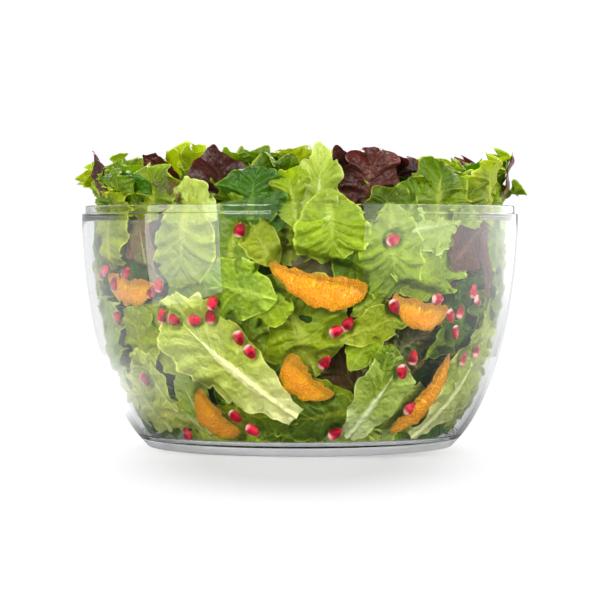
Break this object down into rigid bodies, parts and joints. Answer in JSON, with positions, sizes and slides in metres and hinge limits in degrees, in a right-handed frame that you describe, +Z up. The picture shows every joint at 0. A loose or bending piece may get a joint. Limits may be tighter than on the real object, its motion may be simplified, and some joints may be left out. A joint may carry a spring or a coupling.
{
  "type": "salad spinner bowl",
  "caption": "Round clear bowl of a salad spinner with a stepped lid collar, a non-slip foot ring and a heaped salad of leaves, orange segments and fruit seeds.",
  "frame": {"origin": "centre of the foot's flat underside, on the bowl's axis", "axes": "+Z up along the bowl's axis, -Y towards the front, +X to the right seen from the front"},
  "size_m": [0.2674, 0.2674, 0.1784],
  "materials": {
    "clear_plastic": "clear, glossy",
    "ring_plastic": "frosted",
    "green_leaf": "waxy",
    "dark_leaf": "waxy",
    "red_leaf": "waxy",
    "orange_flesh": "wet",
    "aril_flesh": "wet, glossy"
  },
  "bodies": {
    "bowl": {"bowl": "clear_plastic", "non_slip_ring": "ring_plastic"},
    "salad": {"dark_leaf_01": "dark_leaf", "dark_leaf_02": "dark_leaf", "dark_leaf_03": "dark_leaf", "dark_leaf_04": "dark_leaf", "dark_leaf_05": "dark_leaf", "dark_leaf_06": "dark_leaf", "dark_leaf_07": "dark_leaf", "dark_leaf_08": "dark_leaf", "dark_leaf_09": "dark_leaf", "green_leaf_01": "green_leaf", "green_leaf_02": "green_leaf", "green_leaf_03": "green_leaf", "green_leaf_04": "green_leaf", "green_leaf_05": "green_leaf", "green_leaf_06": "green_leaf", "green_leaf_07": "green_leaf", "green_leaf_08": "green_leaf", "green_leaf_09": "green_leaf", "green_leaf_10": "green_leaf", "green_leaf_11": "green_leaf", "green_leaf_12": "green_leaf", "green_leaf_13": "green_leaf", "green_leaf_14": "green_leaf", "green_leaf_15": "green_leaf", "green_leaf_16": "green_leaf", "green_leaf_17": "green_leaf", "green_leaf_18": "green_leaf", "green_leaf_19": "green_leaf", "green_leaf_20": "green_leaf", "green_leaf_21": "green_leaf", "green_leaf_22": "green_leaf", "green_leaf_23": "green_leaf", "green_leaf_24": "green_leaf", "green_leaf_25": "green_leaf", "green_leaf_26": "green_leaf", "green_leaf_27": "green_leaf", "green_leaf_28": "green_leaf", "green_leaf_29": "green_leaf", "green_leaf_30": "green_leaf", "green_leaf_31": "green_leaf", "green_leaf_32": "green_leaf", "orange_segment_1": "orange_flesh", "orange_segment_2": "orange_flesh", "orange_segment_3": "orange_flesh", "orange_segment_4": "orange_flesh", "orange_segment_5": "orange_flesh", "orange_segment_6": "orange_flesh", "pomegranate_aril_1": "aril_flesh", "pomegranate_aril_2": "aril_flesh", "pomegranate_aril_3": "aril_flesh", "pomegranate_aril_4": "aril_flesh", "red_leaf_01": "red_leaf", "red_leaf_02": "red_leaf", "red_leaf_03": "red_leaf", "red_leaf_04": "red_leaf", "red_leaf_05": "red_leaf", "red_leaf_06": "red_leaf", "red_leaf_07": "red_leaf"}
  },
  "joints": [
    {"name": "salad_lift", "type": "slide", "parent": "bowl", "child": "salad", "axis": [0, 0, 1], "range_m": [0, 0.2]}
  ]
}
